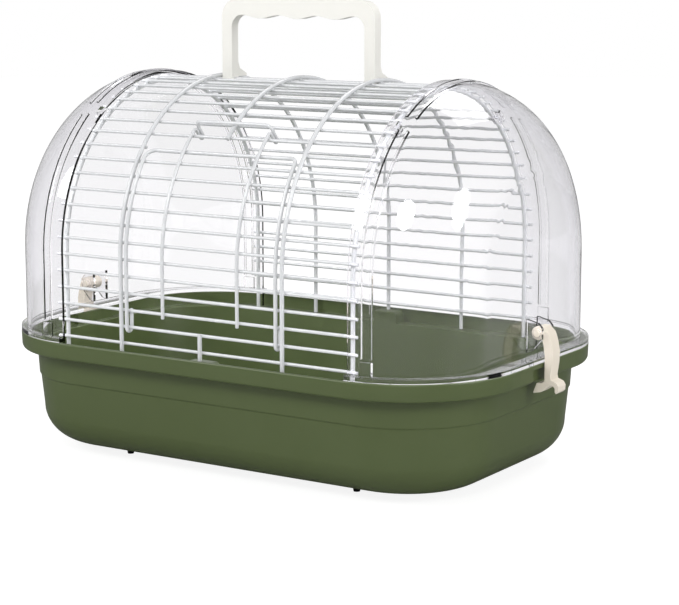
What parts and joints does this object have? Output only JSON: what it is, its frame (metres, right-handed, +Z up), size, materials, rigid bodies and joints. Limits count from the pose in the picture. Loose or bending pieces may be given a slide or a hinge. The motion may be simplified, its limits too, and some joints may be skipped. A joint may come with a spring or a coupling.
{
  "type": "small animal transport crate",
  "caption": "Portable crate for a small bird or rodent: deep moulded tray, arched wire tunnel with a front door, clear domed ends, carrying handle and swing clips.",
  "frame": {"origin": "on the surface it stands on, under the middle of the tray", "axes": "+Z up, X along the tunnel, the wire door faces -Y"},
  "size_m": [0.339, 0.206, 0.262],
  "materials": {
    "tray_plastic": "semi-gloss olive green moulded plastic",
    "clear_plastic": "clear glossy plastic with a faint cool tint",
    "coated_wire": "white dipped coating over steel wire",
    "handle_plastic": "off-white satin plastic",
    "clip_plastic": "cream satin plastic",
    "foot_rubber": "matte black"
  },
  "bodies": {
    "base": {"tray": "tray_plastic", "foot_1": "foot_rubber", "foot_2": "foot_rubber", "foot_3": "foot_rubber", "foot_4": "foot_rubber", "foot_5": "foot_rubber", "foot_6": "foot_rubber", "foot_7": "foot_rubber", "foot_8": "foot_rubber"},
    "cover": {"end_shell_left": "clear_plastic", "end_shell_right": "clear_plastic", "end_hoop_left": "coated_wire", "end_hoop_right": "coated_wire", "door_hoop_left": "coated_wire", "door_hoop_right": "coated_wire", "centre_hoop": "coated_wire", "centre_hoop_stub": "coated_wire", "low_front_wires": "coated_wire", "front_wires_left": "coated_wire", "front_wires_right": "coated_wire", "top_wires": "coated_wire", "back_wires": "coated_wire"},
    "door": {"door_frame": "coated_wire", "door_wires": "coated_wire", "door_uprights": "coated_wire"},
    "latch": {"door_latch": "coated_wire"},
    "handle": {"carry_handle": "handle_plastic"},
    "left_clip": {"clip_left": "clip_plastic"},
    "right_clip": {"clip_right": "clip_plastic"}
  },
  "joints": [
    {"name": "cover_lift", "type": "slide", "parent": "base", "child": "cover", "axis": [0, 0, 1], "range_m": [0, 0.2]},
    {"name": "door_swing", "type": "hinge", "parent": "cover", "child": "door", "pos_m": [0, -0.096, 0.08289], "axis": [1, 0, 0], "range_deg": [0, 120]},
    {"name": "latch_lift", "type": "hinge", "parent": "door", "child": "latch", "pos_m": [0, -0.06732, 0.19129], "axis": [1, 0, 0], "range_deg": [0, 16], "stiffness_Nm_per_rad": 0.05},
    {"name": "handle_fold", "type": "hinge", "parent": "cover", "child": "handle", "pos_m": [0, 0, 0.216], "axis": [1, 0, 0], "range_deg": [0, 63]},
    {"name": "left_clip_swing", "type": "hinge", "parent": "cover", "child": "left_clip", "pos_m": [-0.157, 0, 0.086], "axis": [0, 1, 0], "range_deg": [0, 110]},
    {"name": "right_clip_swing", "type": "hinge", "parent": "cover", "child": "right_clip", "pos_m": [0.157, 0, 0.086], "axis": [0, -1, 0], "range_deg": [0, 110]}
  ]
}
